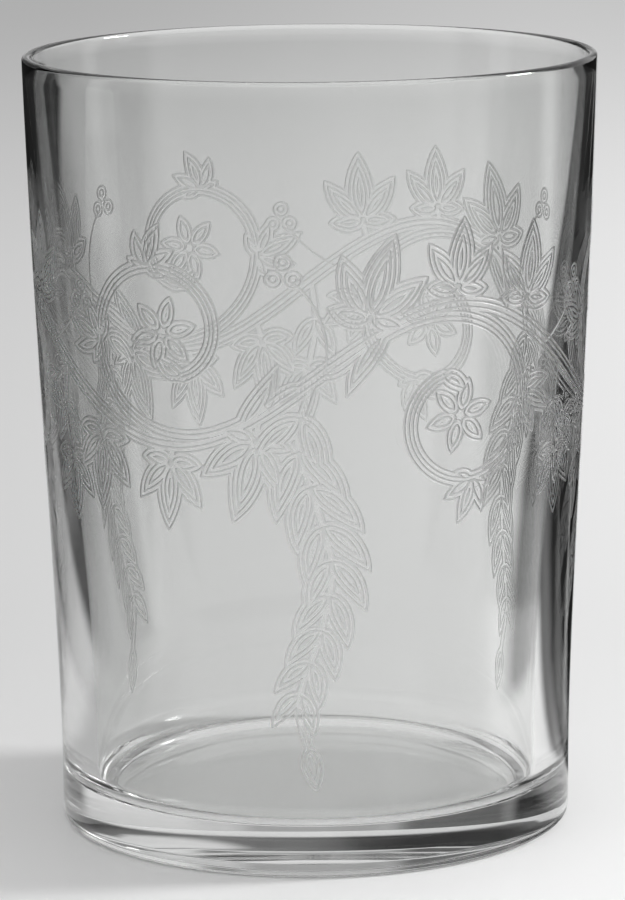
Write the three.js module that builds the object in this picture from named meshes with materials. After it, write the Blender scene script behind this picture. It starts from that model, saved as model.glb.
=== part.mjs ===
// A drinking tumbler blown in one piece of clear glass: a rounded rim, a wall that thickens
// towards the foot, a bowl with a rounded floor, a heavy base and a shallow hollow under it.
// Millimetres, +Z up. The origin lies in the middle of the ring that the glass stands on.
import * as THREE from "three";

// Overall sizes
const HEIGHT = 98.5;
const RIM_DIAMETER = 72.4;
const FOOT_DIAMETER = 65.5;

// Wall thickness at the rim, halfway up the bowl and at the bowl's floor
const RIM_WALL = 1.2;
const MIDDLE_WALL = 3.0;
const FOOT_WALL = 4.5;

// Base
const FLOOR_THICKNESS = 5.4;
const FLOOR_CORNER_RADIUS = 3.0;
const FOOT_ROUNDING = 1.3;
const FOOT_STRAIGHT = 5.0;
const STANDING_RING_WIDTH = 3.0;
const HOLLOW_DEPTH = 0.4;
const HOLLOW_EDGE_RADIUS = 1.6;

// How finely the curves are cut
const STEPS_AROUND = 100;
const WALL_STEPS = 15;
const EDGE_STEPS = 5;
const RIM_STEPS = 8;
const CORNER_STEPS = 8;
const HOLLOW_STEPS = 4;

const rimRadius = RIM_DIAMETER / 2;
const footRadius = FOOT_DIAMETER / 2;
const rimRounding = RIM_WALL / 2;
const rimTurn = HEIGHT - rimRounding;

// The outer wall stands upright on the foot, then bends outwards, ever less, up to the rim.
function outerWall() {
  const bottom = FOOT_ROUNDING + FOOT_STRAIGHT;
  const rise = rimTurn - bottom;
  const flare = rimRadius - footRadius;
  return new THREE.CubicBezierCurve(
    new THREE.Vector2(footRadius, bottom),
    new THREE.Vector2(footRadius, bottom + rise * 0.2),
    new THREE.Vector2(footRadius + flare * 0.745, bottom + rise * 0.59),
    new THREE.Vector2(rimRadius, rimTurn),
  );
}

// The outer radius at a height, found by halving the stretch of curve that holds it.
function outerRadiusAt(curve, height) {
  let low = 0;
  let high = 1;
  if (height <= curve.v0.y) {
    return footRadius;
  }
  for (let i = 0; i < 30; i++) {
    const middle = (low + high) / 2;
    if (curve.getPoint(middle).y < height) {
      low = middle;
    } else {
      high = middle;
    }
  }
  return curve.getPoint(low).x;
}

// Wall thickness as a share of the way from the bowl's floor, 0, to the rim, 1. It stays near
// the foot's thickness low down, passes through the middle one at 0.5 and ends at the rim's.
function wallThickness(share) {
  const pull = (8 * MIDDLE_WALL - 4 * FOOT_WALL - RIM_WALL) / 3;
  const left = 1 - share;
  const low = left * left * (left + 3 * share) * FOOT_WALL;
  const high = share * share * (3 * left * pull + share * RIM_WALL);
  return low + high;
}

// Points on an arc about a centre, from one angle to another, both ends included.
function arc(centreX, centreY, radius, from, to, steps) {
  const points = [];
  for (let i = 0; i <= steps; i++) {
    const angle = from + ((to - from) * i) / steps;
    const x = centreX + radius * Math.cos(angle);
    points.push(new THREE.Vector2(x, centreY + radius * Math.sin(angle)));
  }
  return points;
}

// The shallow hollow under the base, from the axis out to the standing ring.
function underside() {
  const ringInner = footRadius - FOOT_ROUNDING - STANDING_RING_WIDTH;
  const hollowRadius = ringInner - HOLLOW_EDGE_RADIUS;
  const points = [];
  for (let i = 0; i <= HOLLOW_STEPS; i++) {
    const share = i / HOLLOW_STEPS;
    const x = hollowRadius * share;
    points.push(new THREE.Vector2(x, HOLLOW_DEPTH * (1 - 0.45 * share * share)));
  }
  points.push(new THREE.Vector2(ringInner - HOLLOW_EDGE_RADIUS * 0.4, HOLLOW_DEPTH * 0.22));
  points.push(new THREE.Vector2(ringInner, 0));
  return points;
}

// The rounded edge between the standing ring and the upright foot.
function footEdge() {
  const centre = footRadius - FOOT_ROUNDING;
  return arc(centre, FOOT_ROUNDING, FOOT_ROUNDING, -Math.PI / 2, 0, EDGE_STEPS);
}

// The outside of the wall, from the top of the foot up to where the rim turns over.
function outside(wall) {
  return wall.getPoints(WALL_STEPS);
}

// The rim, a half round that joins the outside to the inside.
function rim() {
  const points = arc(rimRadius - rimRounding, rimTurn, rimRounding, 0, Math.PI, RIM_STEPS);
  return points.slice(1);
}

// The inside of the wall, down from the rim, then the rounded corner and the bowl's floor.
function inside(wall) {
  const lowest = FLOOR_THICKNESS + FLOOR_CORNER_RADIUS;
  const depth = rimTurn - lowest;
  const radiusAt = (share) => {
    return outerRadiusAt(wall, lowest + depth * share) - wallThickness(share);
  };
  const points = [];
  for (let i = WALL_STEPS - 1; i > 0; i--) {
    const share = i / WALL_STEPS;
    points.push(new THREE.Vector2(radiusAt(share), lowest + depth * share));
  }
  const step = 0.01;
  const lean = Math.atan((radiusAt(step) - radiusAt(0)) / (depth * step));
  const centreX = radiusAt(0) - FLOOR_CORNER_RADIUS * Math.cos(lean);
  const corner = arc(centreX, lowest, FLOOR_CORNER_RADIUS, -lean, -Math.PI / 2, CORNER_STEPS);
  return points.concat(corner, new THREE.Vector2(0, FLOOR_THICKNESS));
}

// The whole cross-section, from the axis under the base round to the axis on the bowl's floor.
function section() {
  const wall = outerWall();
  return [...underside(), ...footEdge(), ...outside(wall), ...rim(), ...inside(wall)];
}

function glassBody() {
  const shape = new THREE.LatheGeometry(section(), STEPS_AROUND);
  const clearGlass = new THREE.MeshStandardMaterial({
    color: 0xe8eceb,
    roughness: 0.03,
    metalness: 0,
    transparent: true,
    opacity: 0.35,
  });
  const body = new THREE.Mesh(shape, clearGlass);
  body.name = "glass_body";
  return body;
}

// LatheGeometry turns its profile about Y, so the glass is stood up along Z.
const tumbler = new THREE.Group();
const body = glassBody();
body.rotation.x = Math.PI / 2;
tumbler.add(body);

export default tumbler;
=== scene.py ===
"""Looks for a clear etched tumbler: fine glass over the CAD solid, a pale table and soft light."""

import math

import bmesh
import bpy
import numpy as np
from mathutils import Euler, Matrix, Vector
from mathutils.geometry import delaunay_2d_cdt


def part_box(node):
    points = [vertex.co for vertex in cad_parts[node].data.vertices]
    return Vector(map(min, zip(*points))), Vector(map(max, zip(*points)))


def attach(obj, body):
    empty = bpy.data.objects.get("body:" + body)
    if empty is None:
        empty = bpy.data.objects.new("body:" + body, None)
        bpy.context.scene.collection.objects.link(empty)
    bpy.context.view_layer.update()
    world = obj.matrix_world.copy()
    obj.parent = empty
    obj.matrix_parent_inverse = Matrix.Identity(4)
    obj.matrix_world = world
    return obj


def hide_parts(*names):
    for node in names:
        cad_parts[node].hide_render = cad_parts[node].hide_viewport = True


MM = 0.001

# Outer and inner shape of the glass, in millimetres, as in the CAD source
RIM_WALL = 1.2
MIDDLE_WALL = 3.0
FOOT_WALL = 4.5
FOOT_DIAMETER = 65.5
FLOOR_THICKNESS = 5.4
FLOOR_CORNER_RADIUS = 3.0
FOOT_ROUNDING = 1.3
FOOT_STRAIGHT = 5.0
STANDING_RING_WIDTH = 3.0
HOLLOW_DEPTH = 0.4
HOLLOW_EDGE_RADIUS = 1.6

# How far inside the CAD solid the visible surface stays, in millimetres
SKIN = 0.01

# How finely the surfaces are cut: steps round the axis, and along stretches of the profile
AROUND = 264
HOLLOW_STEPS = 8
HOLLOW_EDGE_STEPS = 6
FOOT_EDGE_STEPS = 10
RIM_STEPS = 16
WALL_STEPS = 50
CORNER_STEPS = 14
FLOOR_STEPS = 5

# Etched ornament: equal repeats round the outside, between two heights, in millimetres
REPEATS = 3
REPEAT_WIDTH = 72.0
ETCH_BOTTOM = 10.0
ETCH_TOP = 91.0

# Cross-section of an etched line, the gap from one contour line to the next, and their number
LINE_WIDTH = 0.32
LINE_FLOOR = 0.13
LINE_DEPTH = 0.05
CONTOUR_GAP = 0.57
CONTOURS = 5

# The main stem's wave along each repeat, and half widths of the stems
STEM_MIDDLE = 62.5
STEM_WAVE = 8.5
STEM_CREST = 18.0
STEM_HALF = 0.93
THIN_STEM_HALF = 0.45

# Points across and up the grid that the contour lines are found on, and across and up the
# plain glass between them
CONTOUR_GRID = (451, 507)
PLAIN_GRID = (43, 49)

# Depth, as a share, above which a face counts as etched, and how near points are welded, in metres
ETCHED_SHARE = 0.02
WELD_DISTANCE = 1.5e-6

# Glass: tint, index of refraction, and roughness of the etched lines
GLASS_TINT = (0.87, 0.875, 0.87, 1)
GLASS_IOR = 1.52
ETCHED_ROUGHNESS = 0.4

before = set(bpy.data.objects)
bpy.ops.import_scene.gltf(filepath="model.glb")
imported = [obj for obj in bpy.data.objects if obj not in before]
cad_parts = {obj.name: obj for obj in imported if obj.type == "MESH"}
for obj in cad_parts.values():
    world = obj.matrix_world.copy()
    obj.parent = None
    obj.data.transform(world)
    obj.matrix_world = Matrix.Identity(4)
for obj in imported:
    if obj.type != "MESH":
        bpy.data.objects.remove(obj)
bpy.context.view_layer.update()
lowest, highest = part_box("glass_body")
HEIGHT = highest.z / MM - SKIN
RIM_DIAMETER = (highest.x - lowest.x) / MM - 2 * SKIN


# Profile of the glass


def bezier(points, share):
    left = 1 - share
    weights = (left ** 3, 3 * left ** 2 * share, 3 * left * share ** 2, share ** 3)
    return tuple(sum(w * p[i] for w, p in zip(weights, points)) for i in (0, 1))


def arc(centre_x, centre_z, radius, start, stop, steps):
    angles = [start + (stop - start) * i / steps for i in range(steps + 1)]
    return [(centre_x + radius * math.cos(a), centre_z + radius * math.sin(a)) for a in angles]


RIM_ROUNDING = RIM_WALL / 2
RIM_TURN = HEIGHT - RIM_ROUNDING
RIM_RADIUS = RIM_DIAMETER / 2
FOOT_RADIUS = FOOT_DIAMETER / 2 - SKIN
WALL_FOOT = FOOT_ROUNDING + FOOT_STRAIGHT


def wall_curve():
    rise = RIM_TURN - WALL_FOOT
    flare = RIM_RADIUS - FOOT_RADIUS
    return (
        (FOOT_RADIUS, WALL_FOOT),
        (FOOT_RADIUS, WALL_FOOT + rise * 0.2),
        (FOOT_RADIUS + flare * 0.745, WALL_FOOT + rise * 0.59),
        (RIM_RADIUS, RIM_TURN),
    )


def outer_radius(z):
    """Radius of the outside at a height, in millimetres."""
    if z <= WALL_FOOT:
        return FOOT_RADIUS
    curve = wall_curve()
    low, high = 0.0, 1.0
    for _ in range(30):
        middle = (low + high) / 2
        if bezier(curve, middle)[1] < z:
            low = middle
        else:
            high = middle
    return bezier(curve, low)[0]


def wall_thickness(share):
    pull = (8 * MIDDLE_WALL - 4 * FOOT_WALL - RIM_WALL) / 3
    left = 1 - share
    low = left * left * (left + 3 * share) * FOOT_WALL
    return low + share * share * (3 * left * pull + share * RIM_WALL)


def underside():
    ring_inner = FOOT_RADIUS - FOOT_ROUNDING - STANDING_RING_WIDTH
    hollow = ring_inner - HOLLOW_EDGE_RADIUS
    points = []
    for i in range(HOLLOW_STEPS + 1):
        share = i / HOLLOW_STEPS
        points.append((hollow * share, SKIN + HOLLOW_DEPTH * (1 - 0.45 * share ** 2)))
    for i in range(1, HOLLOW_EDGE_STEPS + 1):
        share = i / HOLLOW_EDGE_STEPS
        turn = 0.5 + 0.5 * math.cos(math.pi * share)
        points.append((hollow + HOLLOW_EDGE_RADIUS * share, SKIN + HOLLOW_DEPTH * 0.55 * turn))
    return points


def foot_edge():
    centre = FOOT_RADIUS - FOOT_ROUNDING
    return arc(centre, FOOT_ROUNDING + SKIN, FOOT_ROUNDING, -math.pi / 2, 0, FOOT_EDGE_STEPS)


def rim():
    return arc(RIM_RADIUS - RIM_ROUNDING, RIM_TURN, RIM_ROUNDING, 0, math.pi, RIM_STEPS)[1:]


def inside():
    low = FLOOR_THICKNESS + FLOOR_CORNER_RADIUS
    depth = RIM_TURN - low

    def radius(share):
        return outer_radius(low + depth * share) - wall_thickness(share)

    steps = range(WALL_STEPS - 1, 0, -1)
    points = [(radius(i / WALL_STEPS), low + depth * i / WALL_STEPS) for i in steps]
    lean = math.atan((radius(0.01) - radius(0)) / (depth * 0.01))
    centre = radius(0) - FLOOR_CORNER_RADIUS * math.cos(lean)
    points += arc(centre, low, FLOOR_CORNER_RADIUS, -lean, -math.pi / 2, CORNER_STEPS)
    floor = range(1, FLOOR_STEPS + 1)
    points += [(centre * (1 - i / FLOOR_STEPS), FLOOR_THICKNESS) for i in floor]
    return points


# Ornament


def smooth_path(points, step=0.6):
    """A Catmull-Rom curve through the points."""
    p = [np.array(q, float) for q in points]
    p = [2 * p[0] - p[1]] + p + [2 * p[-1] - p[-2]]
    path = []
    for a, b, c, d in zip(p, p[1:], p[2:], p[3:]):
        count = max(2, int(np.linalg.norm(c - b) / step))
        for i in range(count):
            t = i / count
            path.append(0.5 * (2 * b + (c - a) * t + (2 * a - 5 * b + 4 * c - d) * t * t
                               + (3 * b - a - 3 * c + d) * t ** 3))
    path.append(p[-2])
    return np.array(path)


def bent_path(start, heading, length, bend, step=0.4):
    """A path from a point at a heading in degrees that turns evenly by bend degrees."""
    count = max(6, int(length / step))
    x, y = start
    path = [(x, y)]
    for i in range(count):
        a = math.radians(heading + bend * (i + 0.5) / count)
        x += length / count * math.cos(a)
        y += length / count * math.sin(a)
        path.append((x, y))
    return np.array(path)


def curl_path(centre, start, turns, last_radius, quickness=0.45, step=0.5):
    """A spiral from a start point in to a last radius, tightening more at first than later."""
    first_radius = math.hypot(start[0] - centre[0], start[1] - centre[1])
    first_angle = math.atan2(start[1] - centre[1], start[0] - centre[0])
    count = int(abs(turns) * math.pi * (first_radius + last_radius) / step)
    t = np.linspace(0, 1, count) ** 1.5
    radius = first_radius + (last_radius - first_radius) * t ** quickness
    angle = first_angle + turns * 2 * math.pi * t
    return np.stack([centre[0] + radius * np.cos(angle), centre[1] + radius * np.sin(angle)], 1)


def stem_height(x):
    """Height of the main stem's centre line at a place along the repeat."""
    return STEM_MIDDLE + STEM_WAVE * math.cos(2 * math.pi * (x - STEM_CREST) / REPEAT_WIDTH)


def stem_heading(x):
    """Heading of the main stem in degrees."""
    return math.degrees(math.atan2(stem_height(x + 0.1) - stem_height(x - 0.1), 0.2))


class Ornament:
    """Tapering strokes whose union gives the filled forms, and centre lines of single lines."""

    def __init__(self):
        self.strokes = []
        self.lines = []

    def stem(self, path, first, last):
        """A stroke along a path, from a first to a last half width."""
        self.strokes.append(np.column_stack([path, np.linspace(first, last, len(path))]))

    def lobe(self, start, heading, length, width, bend=0.0):
        """A pointed oval, such as a petal or one lobe of a leaf."""
        path = bent_path(start, heading, length, bend)
        t = np.linspace(0, 1, len(path))
        radius = 0.5 * width * np.abs(np.sin(math.pi * t ** 0.72)) ** 0.85
        radius[0] = 0.15 * width
        self.strokes.append(np.column_stack([path, np.maximum(radius, 0.02)]))

    def vine_leaf(self, start, heading, size, bend=0.0):
        """A leaf of five lobes."""
        self.lobe(start, heading, size, size * 0.42, bend)
        for side in (1, -1):
            self.lobe(start, heading + 47 * side, size * 0.8, size * 0.36, bend - 14 * side)
            self.lobe(start, heading + 98 * side, size * 0.5, size * 0.3, bend - 14 * side)

    def stalked_leaf(self, x, turn, stalk, size, bend):
        """A vine leaf on a short stalk that leaves the main stem at x."""
        path = bent_path((x, stem_height(x)), stem_heading(x) + turn, stalk, bend)
        self.stem(path, THIN_STEM_HALF, THIN_STEM_HALF)
        ahead = path[-1] - path[-2]
        self.vine_leaf(path[-1], math.degrees(math.atan2(ahead[1], ahead[0])), size, bend * 0.5)

    def flower(self, centre, size, petals, turn):
        for i in range(petals):
            heading = turn + 360 * i / petals
            a = math.radians(heading)
            start = (centre[0] + 0.2 * size * math.cos(a), centre[1] + 0.2 * size * math.sin(a))
            self.lobe(start, heading, size * 0.8, size * 0.46)

    def berries(self, centre):
        for i in range(3):
            a = math.radians(90 + 120 * i)
            spot = (centre[0] + 1.35 * math.cos(a), centre[1] + 1.35 * math.sin(a), 1.0)
            self.strokes.append(np.array([spot, spot]))

    def line(self, path):
        """A single line, etched as one groove."""
        self.lines.append(path)


# Leaves on each curl: share of the way along it, and size
CURL_LEAVES = ((0.52, 7.0), (0.70, 5.8))


def running_scroll(o):
    """A waving stem with a curling branch and a flower in each hollow of the wave."""
    half = REPEAT_WIDTH / 2
    u = np.linspace(-half, half, 140)
    o.stem(np.column_stack([u, [stem_height(x) for x in u]]), STEM_HALF, STEM_HALF)
    for side in (1, -1):
        centre = (18.5 * side, STEM_MIDDLE - 5.2 * side)
        start = (1.5 * side, stem_height(1.5 * side))
        path = curl_path(centre, start, -1.12, 5.6)
        o.stem(path, STEM_HALF, 0.8)
        ahead = path[-1] - path[-2]
        o.lobe(path[-1], math.degrees(math.atan2(ahead[1], ahead[0])) - 30, 4.6, 2.4, -50)
        o.flower(centre, 4.7, 6, 15 + 180 * (side < 0))
        for share, size in CURL_LEAVES:
            k = int(share * len(path))
            away = path[k] - np.array(centre)
            heading = math.degrees(math.atan2(away[1], away[0]))
            o.vine_leaf(path[k], heading - 25, size, -20)


# Leaves along half the stem: place, turn from the stem, stalk length, size and bend
SCROLL_LEAVES = ((6.5, 58, 3.0, 10.5, -14), (17.5, 72, 2.2, 8.5, 10), (28.0, 96, 3.0, 9.5, 16))


def scroll_leaves(o):
    for side, about in ((1, 0), (-1, -180)):
        for x, turn, stalk, size, bend in SCROLL_LEAVES:
            o.stalked_leaf(x * side, turn + about, stalk, size, bend)
        o.lobe((-9.0 * side, stem_height(-9.0 * side)), stem_heading(0) + 10 + about, 9.5, 2.9, 24)


# The hanging spray's stalk, from the stem down, and its number of paired leaves
SPRAY = (
    (0.0, 62.0), (-1.8, 55.0), (0.4, 47.0), (2.2, 39.0), (0.6, 30.5), (-2.0, 22.5), (-0.8, 16.5),
)
SPRAY_PAIRS = 9


def hanging_spray(o):
    """A spray of paired laurel leaves that hangs from the middle of the repeat."""
    spine = smooth_path(SPRAY)
    o.stem(spine, THIN_STEM_HALF, THIN_STEM_HALF)
    for i in range(SPRAY_PAIRS):
        k = int((0.10 + 0.86 * i / SPRAY_PAIRS) * (len(spine) - 2))
        along = spine[k + 1] - spine[k]
        heading = math.degrees(math.atan2(along[1], along[0]))
        size = 1.0 - 0.055 * i
        for side in (1, -1):
            o.lobe(spine[k], heading + 44 * side, 10.0 * size, 3.9 * size, -30 * side)
    o.lobe(spine[-1], -80, 5.2, 2.6, 0)


def small_drop(o):
    """A short drop with one leaf where two repeats meet."""
    x = REPEAT_WIDTH / 2
    top = stem_height(x)
    path = smooth_path([(x, top), (x - 0.6, top - 6), (x + 0.4, top - 12)])
    o.stem(path, THIN_STEM_HALF, THIN_STEM_HALF)
    o.vine_leaf((x + 0.4, top - 12), -88, 8.0, 0)
    o.lobe((x - 0.4, top - 5.5), -50, 6.0, 2.4, -20)
    o.lobe((x - 0.4, top - 5.5), -130, 6.0, 2.4, 20)


# Stalks of berries: place on the stem, turn from it, bend and length
BERRY_STALKS = ((1.5, 42, 60, 12.0), (33.0, 60, 30, 8.0))


def berry_stalks(o):
    """Thin stalks, each with a bunch of berries."""
    for x, turn, bend, length in BERRY_STALKS:
        path = bent_path((x, stem_height(x)), stem_heading(x) + turn, length, bend)
        o.line(path)
        o.berries(path[-1] + (path[-1] - path[-2]) * 4)


def periodic(groups, margin=2.0):
    """The groups, and their copies one repeat to each side where those reach into the repeat."""
    reach = REPEAT_WIDTH / 2 + margin
    kept = []
    for group in groups:
        for shift in (-REPEAT_WIDTH, 0.0, REPEAT_WIDTH):
            moved = group.copy()
            moved[:, 0] += shift
            if moved[:, 0].max() > -reach and moved[:, 0].min() < reach:
                kept.append(moved)
    return kept


def distance_to(points, groups, limit=2.0):
    """Signed distance from points to the union of tapering strokes, negative inside."""
    best = np.full(len(points), limit)
    for group in groups:
        radius = group[:, 2] if group.shape[1] > 2 else np.zeros(len(group))
        low = group[:, :2].min(0) - radius.max() - limit
        high = group[:, :2].max(0) + radius.max() + limit
        near = np.nonzero(((points > low) & (points < high)).all(1))[0]
        start, run = group[:-1, :2], np.diff(group[:, :2], axis=0)
        length = np.maximum((run ** 2).sum(1), 1e-12)
        for part in np.array_split(near, len(near) * len(group) // 1000000 + 1):
            if len(part) == 0:
                continue
            across = points[part, None, 0] - start[None, :, 0]
            up = points[part, None, 1] - start[None, :, 1]
            share = np.clip((across * run[:, 0] + up * run[:, 1]) / length, 0, 1)
            gap = np.hypot(across - share * run[:, 0], up - share * run[:, 1])
            found = (gap - radius[:-1] - share * np.diff(radius)).min(1)
            best[part] = np.minimum(best[part], found)
    return best


def groove(distance):
    """Share of the full depth at a distance from the middle of a line."""
    return np.clip((LINE_WIDTH / 2 - np.abs(distance)) / ((LINE_WIDTH - LINE_FLOOR) / 2), 0, 1)


def etched(forms, strokes):
    """Share of the full depth where the signed distances to forms and strokes are known."""
    ring = np.maximum(np.round(-forms / CONTOUR_GAP), 0) * CONTOUR_GAP
    return np.maximum(groove(-forms - ring), groove(strokes))


def contour(field, us, vs, level):
    """Polylines where the field on a grid has a level, by marching squares."""
    above = field > level
    chain = {}

    def crossing(i, j, k, m):
        """Where the level lies on the grid edge between two of its points."""
        a, b = field[i, j], field[k, m]
        t = (level - a) / (b - a)
        return (us[j] + (us[m] - us[j]) * t, vs[i] + (vs[k] - vs[i]) * t)

    # Each cell's corners above the level, as a sum of 1, 2, 4 and 8 round the cell
    cases = above[:-1, :-1] * 1 + above[:-1, 1:] * 2 + above[1:, 1:] * 4 + above[1:, :-1] * 8
    points = {}
    for i, j in zip(*np.nonzero((cases > 0) & (cases < 15))):
        edges = {
            "b": (i, j, i, j + 1), "r": (i, j + 1, i + 1, j + 1),
            "t": (i + 1, j, i + 1, j + 1), "l": (i, j, i + 1, j),
        }
        pairs = {
            1: "lb", 2: "br", 3: "lr", 4: "rt", 5: "lbrt", 6: "bt", 7: "lt",
            8: "lt", 9: "bt", 10: "brlt", 11: "rt", 12: "lr", 13: "br", 14: "lb",
        }[int(cases[i, j])]
        for n in range(0, len(pairs), 2):
            ends = []
            for side in pairs[n:n + 2]:
                key = edges[side]
                if key not in points:
                    points[key] = crossing(*key)
                ends.append(key)
            chain.setdefault(ends[0], []).append(ends[1])
            chain.setdefault(ends[1], []).append(ends[0])
    lines = []
    open_ends = [k for k, n in chain.items() if len(n) == 1]
    for start in open_ends + list(chain):
        if not chain.get(start):
            continue
        line = [start]
        while chain.get(line[-1]):
            after = chain[line[-1]].pop()
            chain[after].remove(line[-1])
            line.append(after)
        lines.append([points[k] for k in line])
    return lines


def simplified(line, tolerance=0.02, longest=1.4):
    """The line with fewer points: none moves it by more than the tolerance."""
    p = np.array(line)
    keep = {0, len(p) - 1}
    spans = [(0, len(p) - 1)]
    if np.allclose(p[0], p[-1]) and len(p) > 3:
        middle = len(p) // 2
        keep.add(middle)
        spans = [(0, middle), (middle, len(p) - 1)]
    while spans:
        a, b = spans.pop()
        if b - a < 2:
            continue
        run = p[b] - p[a]
        length = math.hypot(*run)
        part = p[a + 1:b] - p[a]
        if length > 1e-9:
            off = np.abs(part[:, 0] * run[1] - part[:, 1] * run[0]) / length
        else:
            off = np.hypot(part[:, 0], part[:, 1])
        worst = int(off.argmax())
        if off[worst] > tolerance or length > longest:
            if off[worst] <= tolerance:
                worst = (b - a) // 2 - 1
            keep.add(a + 1 + worst)
            spans += [(a, a + 1 + worst), (a + 1 + worst, b)]
    return [tuple(p[i]) for i in sorted(keep)]


def outline_of_stroke(path, half):
    """A closed line round a centre line, at half a width from it."""
    p = np.array(simplified(path, 0.01, 0.6))
    along = np.gradient(p, axis=0)
    along /= np.linalg.norm(along, axis=1)[:, None]
    side = np.stack([-along[:, 1], along[:, 0]], 1) * half
    ends = [p[-1] + along[-1] * half], [p[0] - along[0] * half]
    loop = np.vstack([p + side, ends[0], (p - side)[::-1], ends[1]])
    return [tuple(q) for q in np.vstack([loop, loop[:1]])]


def etched_tile():
    """One repeat, flat: points, triangles, and each point's and triangle's share of the depth."""
    o = Ornament()
    for part in (running_scroll, scroll_leaves, hanging_spray, small_drop, berry_stalks):
        part(o)
    forms = periodic(o.strokes)
    strokes = periodic(o.lines)
    half = REPEAT_WIDTH / 2
    us = np.linspace(-half, half, CONTOUR_GRID[0])
    vs = np.linspace(ETCH_BOTTOM, ETCH_TOP, CONTOUR_GRID[1])
    grid = np.stack(np.meshgrid(us, vs), -1).reshape(-1, 2)
    field = distance_to(grid, forms).reshape(len(vs), len(us))
    field[:, -1] = field[:, 0]
    lines = []
    for ring in range(CONTOURS):
        for offset in (LINE_WIDTH / 2, LINE_FLOOR / 2, -LINE_FLOOR / 2, -LINE_WIDTH / 2):
            lines += contour(field, us, vs, offset - ring * CONTOUR_GAP)
    lines = [simplified(line) for line in lines if len(line) > 3]
    for path in o.lines:
        for shift in (-REPEAT_WIDTH, 0.0, REPEAT_WIDTH):
            moved = np.array(path) + (shift, 0.0)
            if np.abs(moved[:, 0]).min() < half + 0.5:
                lines += [outline_of_stroke(moved, w / 2) for w in (LINE_WIDTH, LINE_FLOOR)]
    points, edges = [], []
    columns = AROUND // REPEATS
    ends = [q for line in lines for q in (line[0], line[-1])]
    on_left_side = {v for u, v in ends if abs(u + half) < 1e-9}
    plain_u = np.linspace(-half, half, PLAIN_GRID[0])
    plain_v = np.linspace(ETCH_BOTTOM, ETCH_TOP, PLAIN_GRID[1])
    sides = sorted(set(plain_v) | on_left_side)
    frame_lines = [
        [(-half, v) for v in sides],
        [(half, v) for v in sides],
        [(-half + REPEAT_WIDTH * i / columns, ETCH_BOTTOM) for i in range(columns + 1)],
        [(-half + REPEAT_WIDTH * i / columns, ETCH_TOP) for i in range(columns + 1)],
    ]
    for line in frame_lines + lines:
        first = len(points)
        points += line
        edges += [(first + i, first + i + 1) for i in range(len(line) - 1)]
    loose = np.stack(np.meshgrid(plain_u[1:-1], plain_v[1:-1]), -1).reshape(-1, 2)
    clear = (distance_to(loose, forms) > 0.6) & (distance_to(loose, strokes) > 0.6)
    points += [tuple(q) for q in loose[clear]]
    found = delaunay_2d_cdt([Vector(q) for q in points], edges, [], 0, 1e-6)
    flat = np.array([tuple(q) for q in found[0]])
    triangles = np.array(found[2])
    triangles = triangles[np.ptp(flat[triangles], axis=1).min(1) > 1e-4]
    triangles = triangles[np.abs(flat[triangles].mean(1)[:, 0]) < half]
    depth = etched(distance_to(flat, forms), distance_to(flat, strokes))
    middles = flat[triangles].mean(1)
    share = etched(distance_to(middles, forms), distance_to(middles, strokes))
    return flat, triangles, depth, share


# Surface of the glass


def turned_rings(profile, verts, faces):
    """Adds a surface turned about the axis; an end on the axis closes in one point."""
    rings = []
    for r, z in profile:
        if r < 1e-6:
            rings.append([len(verts)])
            verts.append((0.0, 0.0, z))
            continue
        rings.append(list(range(len(verts), len(verts) + AROUND)))
        for k in range(AROUND):
            a = 2 * math.pi * k / AROUND
            verts.append((r * math.sin(a), -r * math.cos(a), z))
    for low, high in zip(rings, rings[1:]):
        for k in range(AROUND):
            n = (k + 1) % AROUND
            if len(low) == 1:
                faces.append((low[0], high[n], high[k]))
            elif len(high) == 1:
                faces.append((low[k], low[n], high[0]))
            else:
                faces.append((low[k], low[n], high[n], high[k]))


def below_etching():
    points = underside() + foot_edge()[1:]
    points += [(outer_radius(z), z) for z in (3.0, 5.0, WALL_FOOT, 8.0, ETCH_BOTTOM)]
    return points


def above_etching():
    heights = [ETCH_TOP + (RIM_TURN - ETCH_TOP) * i / 4 for i in range(5)]
    return [(outer_radius(z), z) for z in heights] + rim() + inside()


# The outer wall beside the etched band, tabled once for the many points on it
BAND_HEIGHTS = np.linspace(ETCH_BOTTOM, ETCH_TOP, 325)
BAND_RADII = np.array([outer_radius(z) for z in BAND_HEIGHTS])
BAND_SLOPES = np.gradient(BAND_RADII, BAND_HEIGHTS)


def etched_wall(verts, faces):
    """Adds the etched repeats. Gives each new face's share of the depth."""
    flat, triangles, depth, share = etched_tile()
    radius = np.interp(flat[:, 1], BAND_HEIGHTS, BAND_RADII) - depth * LINE_DEPTH
    shares = []
    for k in range(REPEATS):
        angle = (flat[:, 0] / REPEAT_WIDTH + k) * 2 * math.pi / REPEATS
        first = len(verts)
        verts += list(zip(radius * np.sin(angle), -radius * np.cos(angle), flat[:, 1]))
        faces += [tuple(int(i) + first for i in t) for t in triangles]
        shares += list(share)
    return shares


def wall_normals(mesh):
    """The smooth wall's normal at each point of the etched band; none elsewhere."""
    places = np.empty(len(mesh.vertices) * 3, np.float32)
    mesh.vertices.foreach_get("co", places)
    x, y, z = places.reshape(-1, 3).T.astype(float) / MM
    radius = np.hypot(x, y)
    inside_band = (z > ETCH_BOTTOM - 0.001) & (z < ETCH_TOP + 0.001)
    on_wall = inside_band & (radius > np.interp(z, BAND_HEIGHTS, BAND_RADII) - 0.3)
    slope = np.interp(z, BAND_HEIGHTS, BAND_SLOPES)
    normals = np.stack([x / np.maximum(radius, 1e-9), y / np.maximum(radius, 1e-9), -slope], 1)
    normals /= np.linalg.norm(normals, axis=1)[:, None]
    normals[~on_wall] = 0
    return [tuple(n) for n in normals]


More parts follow.
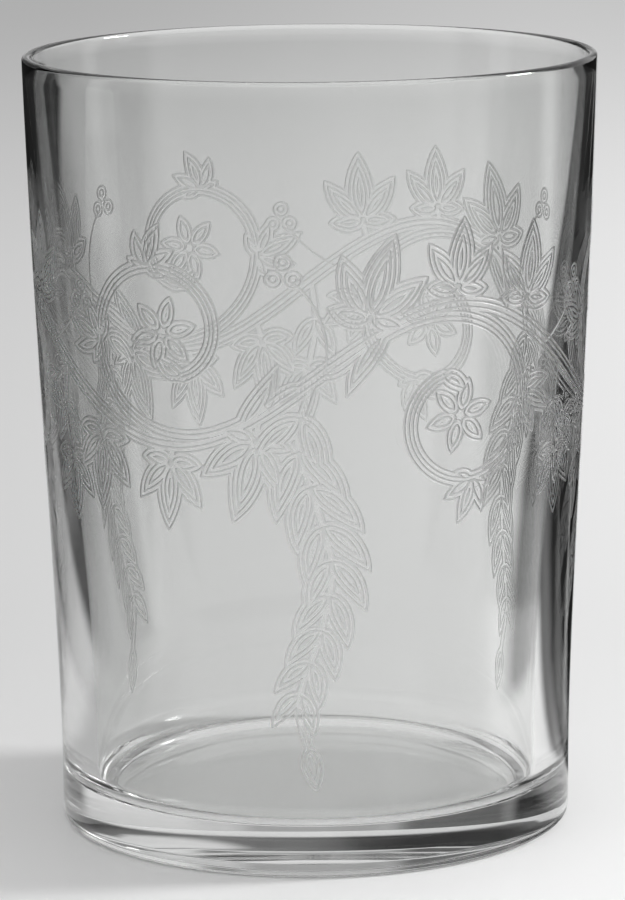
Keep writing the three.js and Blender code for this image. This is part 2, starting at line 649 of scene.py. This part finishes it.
def glass_mesh(name):
    """The whole glass as one closed surface, with clear and etched faces."""
    verts, faces = [], []
    turned_rings(below_etching(), verts, faces)
    turned_rings(above_etching(), verts, faces)
    plain = len(faces)
    shares = etched_wall(verts, faces)
    mesh = bpy.data.meshes.new(name)
    mesh.from_pydata([(x * MM, y * MM, z * MM) for x, y, z in verts], [], faces)
    mesh.polygons.foreach_set("material_index", [0] * plain + [int(s > ETCHED_SHARE) for s in shares])
    joined = bmesh.new()
    joined.from_mesh(mesh)
    bmesh.ops.remove_doubles(joined, verts=joined.verts, dist=WELD_DISTANCE)
    bmesh.ops.holes_fill(joined, edges=joined.edges, sides=3)
    joined.to_mesh(mesh)
    joined.free()
    mesh.shade_smooth()
    normals = wall_normals(mesh)
    loops = []
    for polygon in mesh.polygons:
        flat_face = tuple(polygon.normal)
        etched_face = polygon.material_index == 1
        loops += [flat_face if etched_face else normals[v] for v in polygon.vertices]
    mesh.normals_split_custom_set(loops)
    obj = bpy.data.objects.new(name, mesh)
    bpy.context.scene.collection.objects.link(obj)
    return obj


# Materials, table and light


def new_material(name):
    material = bpy.data.materials.new(name)
    material.use_nodes = True
    return material, material.node_tree, material.node_tree.nodes["Principled BSDF"]


def glass_material(name, roughness):
    material, _, shader = new_material(name)
    shader.inputs["Base Color"].default_value = GLASS_TINT
    shader.inputs["Roughness"].default_value = roughness
    shader.inputs["IOR"].default_value = GLASS_IOR
    shader.inputs["Transmission Weight"].default_value = 1.0
    return material


class Nodes:
    """Short ways to write a tree of math nodes."""

    def __init__(self, tree):
        self.tree = tree

    def put(self, socket, value):
        if isinstance(value, bpy.types.NodeSocket):
            self.tree.links.new(value, socket)
        else:
            socket.default_value = value

    def math(self, operation, *values, clamp=False):
        node = self.tree.nodes.new("ShaderNodeMath")
        node.operation = operation
        node.use_clamp = clamp
        for i, v in enumerate(values):
            self.put(node.inputs[i], v)
        return node.outputs[0]

    def step(self, value, low, high, to_low=0.0, to_high=1.0):
        node = self.tree.nodes.new("ShaderNodeMapRange")
        node.interpolation_type = "SMOOTHSTEP"
        for i, v in enumerate((value, low, high, to_low, to_high)):
            self.put(node.inputs[i], v)
        return node.outputs[0]

    def mix(self, share, a, b):
        node = self.tree.nodes.new("ShaderNodeMix")
        node.data_type = "FLOAT"
        self.put(node.inputs[0], share)
        self.put(node.inputs[2], a)
        self.put(node.inputs[3], b)
        return node.outputs[0]

    def split(self, vector):
        node = self.tree.nodes.new("ShaderNodeSeparateXYZ")
        self.tree.links.new(vector, node.inputs[0])
        return node.outputs

    def product(self, values):
        total = values[0]
        for v in values[1:]:
            total = self.math("MULTIPLY", total, v)
        return total


# Pale strips of the table along three lines of sight: azimuth of the background from +Y
# towards +X in degrees, ends before and beyond the glass, half width at the glass, its growth
# per metre beyond it, how much the strip darkens towards its far end, and where it begins for
# light that doesn't pass the whole bowl
STRIPS = (
    (-45, -0.13, 0.42, 0.045, 0.06, 0.9, 0.2),
    (-90, -0.38, 9.0, 0.045, 0.06, 0.0, 0.45),
    (135, -0.17, 0.95, 0.045, 0.06, 0.0, 0.3),
)
STRIP_EDGE = 0.015
STRIP_START_FADE = 0.05
STRIP_END_FADE = 0.08

# Dark parts of the table, each between two azimuths and aside of a line: how far aside the
# line begins, and by how much more for each metre further back
DARK_PARTS = (
    ("right", 11, 66, 0.028, 0.25),
    ("right", 75, 108, 0.13, 0.0),
    ("left", -113, -4, 0.082, 0.062),
)
DARK_EDGE = 0.006
DARK_EDGE_TURN = 4
DARK_TONE = 0.02

# The table beneath the base: how far out it reaches, its tone, raised there as painted light, and a
# painted glow there that stands in for the light the base gathers
BENEATH = (0.028, 0.032)
PAINTED_LIGHT_BENEATH_TONE = 0.97
PAINTED_GLOW_BENEATH = 0.3

# Small dark spots on the table: middle, half lengths, turn in degrees and strength; the second is
# painted shadow of the glass, cast to its left
DARK_SPOTS_AND_PAINTED_SHADOW = (
    (0.09, 0.062, 0.036, 0.024, 32, 1.0),
    # Painted shadow of the glass, cast to its left
    (-0.12, 0.06, 0.045, 0.016, -35, 0.9),
)
SPOT_CORE = 0.6
SPOT_REACH = 1.15

# Painted shade in the narrow gap round the foot, behind it and to its right in front: each limit
# fades between two places, in metres
GAP_BEHIND_X = ((-0.0031, -0.0018), (0.02, 0.03))
GAP_BEHIND_Y = ((0.0325, 0.0345), (0.042, 0.046))
GAP_BEFORE_X = (0.002, 0.012)
GAP_BEFORE_Y = (-0.01, 0.0)
GAP_BEFORE_AWAY = ((0.031, 0.033), (0.05, 0.062))

# Painted shade on the table, as light falls off across it, in front and behind: two places in metres,
# and the tones there
SIDE_PAINTED_SHADE = ((-0.11, 0.11, 0.75, 1.0), (0.12, 0.4, 1.0, 0.78))
FRONT_PAINTED_SHADE = ((-0.45, -0.1, 0.75, 1.0), (-0.06, 0.12, 0.98, 0.79))
BACK_PAINTED_SHADE = (0.3, 1.2, 1.0, 0.9)
LEFT_BEHIND_TONE = 0.45

# The round table, a thin sheet, in metres
TABLE_RADIUS = 3.0
TABLE_CORNERS = 96
TABLE_ROUGHNESS = 0.35
TABLE_SHEEN = 0.2

# Tone of the surroundings low down and overhead, and the heights in degrees between which one
# passes into the other
HORIZON_TONE = 0.54
OVERHEAD_TONE = 0.88
LOW_HEIGHT = 8.0
OVERHEAD_HEIGHT = 60.0

# A round lamp to the right of the glass and a little behind it, in metres and watts
LAMP_PLACE = (1.36, 0.17, 0.72)
LAMP_SIZE = 0.37
LAMP_POWER = 18.2
LAMP_TARGET = (0, 0, 0.03)

# Camera at the photo's viewing angle: place in metres, downward tilt and roll in degrees, and
# sensor height and focal length in millimetres
CAMERA_PLACE = (-0.00005, -0.5542, 0.1554)
CAMERA_TILT = 11.03
CAMERA_ROLL = 0.498
SENSOR_HEIGHT = 36
FOCAL_LENGTH = 176.43

# Darker and lighter parts of the surroundings: azimuths, heights, tone, softness in degrees
PATCHES = (
    (-112, -38, -5, 18, 0.02, 5),
    (-38, -12, -5, 20, 0.12, 4),
    (-97, -83, -5, 4, 0.54, 2),
    (-11, 11, 5, 21, 0.35, 3),
    (11, 18, -5, 12, 0.2, 3),
    (20, 55, -3, 16, 0.75, 4),
    (58, 96, -5, 16, 0.03, 4),
    (105, 260, 0, 30, 1.1, 6),
    (-260, -118, 0, 30, 1.1, 6),
)


def strip(n, x, y, through, azimuth, near, far, half_width, growth, dimming, start):
    """0 on the strip, 1 beyond its soft edges."""
    a = math.radians(azimuth)
    along = n.math("MULTIPLY_ADD", x, math.sin(a), n.math("MULTIPLY", y, math.cos(a)))
    across = n.math("MULTIPLY_ADD", x, math.cos(a), n.math("MULTIPLY", y, -math.sin(a)))
    width = n.math("MULTIPLY_ADD", along, growth, half_width)
    aside = n.step(n.math("SUBTRACT", n.math("ABSOLUTE", across), width), 0.0, STRIP_EDGE)
    begins = n.mix(through, start, near)
    before = n.step(along, n.math("SUBTRACT", begins, STRIP_START_FADE), begins, 1.0, 0.0)
    after = n.step(along, far, far + STRIP_END_FADE)
    faded = n.step(along, 0.06, min(far, 0.5), 0.0, dimming)
    return n.math("MAXIMUM", n.math("MAXIMUM", aside, before), n.math("MAXIMUM", after, faded))


def dark_part(n, x, y, azimuth, side, first, last, start, growth):
    """1 on a dark part of the table, 0 off it."""
    aside = n.math("MULTIPLY", x, -1.0 if side == "left" else 1.0)
    line = n.math("MULTIPLY_ADD", n.math("MAXIMUM", y, 0.0), growth, start)
    beyond = n.step(n.math("SUBTRACT", aside, line), -DARK_EDGE, DARK_EDGE)
    after = n.step(azimuth, first - DARK_EDGE_TURN, first + DARK_EDGE_TURN)
    before = n.step(azimuth, last - DARK_EDGE_TURN, last + DARK_EDGE_TURN, 1.0, 0.0)
    return n.product([beyond, after, before])


def spot(n, x, y, middle_x, middle_y, half_long, half_short, turn, strength):
    """The strength on an oval spot, fading to 0 round it."""
    c, d = math.cos(math.radians(turn)), math.sin(math.radians(turn))
    dx = n.math("SUBTRACT", x, middle_x)
    dy = n.math("SUBTRACT", y, middle_y)
    along = n.math("MULTIPLY_ADD", dx, c / half_long, n.math("MULTIPLY", dy, d / half_long))
    across = n.math("MULTIPLY_ADD", dx, -d / half_short, n.math("MULTIPLY", dy, c / half_short))
    square = n.math("MULTIPLY_ADD", along, along, n.math("MULTIPLY", across, across))
    return n.step(n.math("SQRT", square), SPOT_CORE, SPOT_REACH, strength, 0.0)


def foot_shadow(n, x, y, away):
    """Painted shade in the narrow gap round the foot, which shows in light mirrored by the base."""
    behind = n.product([
        n.step(x, *GAP_BEHIND_X[0]), n.step(x, -0.002, 0.0025, 0.85, 1.0),
        n.step(x, *GAP_BEHIND_X[1], 1.0, 0.0),
        n.step(y, *GAP_BEHIND_Y[0]), n.step(y, *GAP_BEHIND_Y[1], 1.0, 0.0),
    ])
    before = n.product([
        n.step(x, *GAP_BEFORE_X), n.step(y, *GAP_BEFORE_Y, 1.0, 0.0),
        n.step(away, *GAP_BEFORE_AWAY[0]), n.step(away, *GAP_BEFORE_AWAY[1], 1.0, 0.0),
    ])
    return n.math("MAXIMUM", behind, before)


def dark_share(n, x, y, azimuth, away, path):
    """How dark the table looks in the glass."""
    through = n.math("COMPARE", path["Transmission Depth"], 4.0, 0.5)
    dark = 0.0
    for part in DARK_PARTS:
        dark = n.math("MAXIMUM", dark, dark_part(n, x, y, azimuth, *part))
    dark = n.product([dark] + [strip(n, x, y, through, *s) for s in STRIPS])
    for s in DARK_SPOTS_AND_PAINTED_SHADOW:
        dark = n.math("MAXIMUM", dark, spot(n, x, y, *s))
    mirrors = n.math("SUBTRACT", path["Ray Depth"], path["Transmission Depth"])
    mirrored = n.product([n.math("GREATER_THAN", mirrors, 0.5), n.math("SUBTRACT", 1.0, through)])
    return n.math("MAXIMUM", dark, n.product([mirrored, foot_shadow(n, x, y, away)]))


def painted_side_shade(n, x):
    """Painted shade: the table's fall in tone towards both sides."""
    return n.product([n.step(x, *tones) for tones in SIDE_PAINTED_SHADE])


def tone_with_painted_shade(n, x, y, azimuth, side, unseen):
    """The table's tone: pale, with painted shade where light falls off towards the sides, behind and
    far in front, and a little greyer to the left behind the glass for all but camera rays.
    """
    front = n.product([n.step(y, *tones) for tones in FRONT_PAINTED_SHADE])
    back = n.step(y, *BACK_PAINTED_SHADE)
    left_behind = n.product([
        n.step(x, -0.11, -0.045, 1.0, 0.0), n.step(y, 0.03, 0.12), unseen,
        n.step(azimuth, -60.0, -50.0), n.step(azimuth, -16.0, -9.0, 1.0, 0.0),
    ])
    return n.product([front, back, side, n.mix(left_behind, 1.0, LEFT_BEHIND_TONE)])


def table_material():
    """A pale table near the glass, with painted shade and painted light, that passes into the tone of
    the surroundings far away.
    """
    material, tree, shader = new_material("pale_table")
    n = Nodes(tree)
    where = tree.nodes.new("ShaderNodeNewGeometry").outputs["Position"]
    x, y, _ = n.split(where)
    azimuth = n.math("DEGREES", n.math("ARCTAN2", x, y))
    away = n.math("SQRT", n.math("MULTIPLY_ADD", x, x, n.math("MULTIPLY", y, y)))
    path = tree.nodes.new("ShaderNodeLightPath").outputs
    unseen = n.math("SUBTRACT", 1.0, path["Is Camera Ray"])
    dark = n.product([dark_share(n, x, y, azimuth, away, path), unseen])
    # Painted shade towards both sides, carried into the far tone too
    side = painted_side_shade(n, x)
    # Painted light: the table beneath the base is paler than round it
    beneath = n.step(away, *BENEATH, 1.0, 0.0)
    pale = n.mix(beneath, tone_with_painted_shade(n, x, y, azimuth, side, unseen), PAINTED_LIGHT_BENEATH_TONE)
    tone = n.mix(dark, pale, DARK_TONE)
    colour = tree.nodes.new("ShaderNodeCombineColor")
    for i in range(3):
        tree.links.new(tone, colour.inputs[i])
    tree.links.new(colour.outputs[0], shader.inputs["Base Color"])
    shader.inputs["Roughness"].default_value = TABLE_ROUGHNESS
    tree.links.new(n.mix(dark, TABLE_SHEEN, 0.0), shader.inputs["Specular IOR Level"])
    # Painted light: the table beneath the base glows, standing in for the light that the base gathers
    shader.inputs["Emission Color"].default_value = (1, 1, 1, 1)
    tree.links.new(n.product([beneath, PAINTED_GLOW_BENEATH]), shader.inputs["Emission Strength"])
    far_tone = n.product([n.mix(n.step(away, 1.0, 2.2), side, 1.0), HORIZON_TONE])
    far = tree.nodes.new("ShaderNodeEmission")
    tree.links.new(n.mix(dark, far_tone, DARK_TONE), far.inputs["Color"])
    blend = tree.nodes.new("ShaderNodeMixShader")
    tree.links.new(n.step(away, 0.45, 1.5), blend.inputs[0])
    tree.links.new(shader.outputs[0], blend.inputs[1])
    tree.links.new(far.outputs[0], blend.inputs[2])
    output = next(node for node in tree.nodes if node.type == "OUTPUT_MATERIAL")
    tree.links.new(blend.outputs[0], output.inputs["Surface"])
    return material


def table():
    mesh = bpy.data.meshes.new("table")
    turns = [2 * math.pi * i / TABLE_CORNERS for i in range(TABLE_CORNERS)]
    edge = [(TABLE_RADIUS * math.cos(a), TABLE_RADIUS * math.sin(a), 0) for a in turns]
    mesh.from_pydata(edge, [], [tuple(range(TABLE_CORNERS))])
    obj = bpy.data.objects.new("table", mesh)
    bpy.context.scene.collection.objects.link(obj)
    mesh.materials.append(table_material())


def studio_world():
    """Grey surroundings that grow paler overhead, with darker and lighter patches."""
    world = bpy.data.worlds.new("studio")
    bpy.context.scene.world = world
    world.use_nodes = True
    tree = world.node_tree
    tree.nodes.clear()
    n = Nodes(tree)
    x, y, z = n.split(tree.nodes.new("ShaderNodeTexCoord").outputs["Generated"])
    azimuth = n.math("DEGREES", n.math("ARCTAN2", x, y))
    rise = n.math("DEGREES", n.math("ARCSINE", z))
    tone = n.step(rise, LOW_HEIGHT, OVERHEAD_HEIGHT, HORIZON_TONE, OVERHEAD_TONE)
    for first, last, low, high, value, soft in PATCHES:
        inside = n.product([
            n.step(azimuth, first - soft, first + soft),
            n.step(azimuth, last - soft, last + soft, 1.0, 0.0),
            n.step(rise, low - soft / 2, low + soft / 2),
            n.step(rise, high - soft / 2, high + soft / 2, 1.0, 0.0),
        ])
        tone = n.mix(inside, tone, value)
    background = tree.nodes.new("ShaderNodeBackground")
    output = tree.nodes.new("ShaderNodeOutputWorld")
    tree.links.new(tone, background.inputs["Color"])
    tree.links.new(background.outputs[0], output.inputs[0])


def side_light():
    """A soft lamp to the right, a little behind the glass."""
    data = bpy.data.lights.new("side_light", "AREA")
    data.shape = "DISK"
    data.size = LAMP_SIZE
    data.energy = LAMP_POWER
    obj = bpy.data.objects.new("side_light", data)
    bpy.context.scene.collection.objects.link(obj)
    obj.location = LAMP_PLACE
    aim = Vector(LAMP_TARGET) - Vector(LAMP_PLACE)
    obj.rotation_euler = aim.to_track_quat("-Z", "Y").to_euler()


def camera():
    data = bpy.data.cameras.new("camera")
    obj = bpy.data.objects.new("camera", data)
    bpy.context.scene.collection.objects.link(obj)
    obj.location = CAMERA_PLACE
    tilt, roll = math.radians(CAMERA_TILT), math.radians(CAMERA_ROLL)
    turn = Euler((math.pi / 2 - tilt, 0, 0)).to_matrix() @ Matrix.Rotation(-roll, 3, "Z")
    obj.rotation_euler = turn.to_euler()
    data.sensor_fit = "VERTICAL"
    data.sensor_height = SENSOR_HEIGHT
    data.lens = FOCAL_LENGTH
    data.clip_end = 10
    bpy.context.scene.camera = obj


glass = glass_mesh("etched_glass")
glass.data.materials.append(glass_material("clear_glass", 0.0))
glass.data.materials.append(glass_material("etched_glass", ETCHED_ROUGHNESS))
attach(glass, "root")
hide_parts("glass_body")

table()
studio_world()
side_light()
camera()

# Enough bounces for light that goes round inside the thick base
scene = bpy.context.scene
scene.view_settings.view_transform = "Standard"
scene.cycles.max_bounces = 24
scene.cycles.transmission_bounces = 24
scene.cycles.glossy_bounces = 12
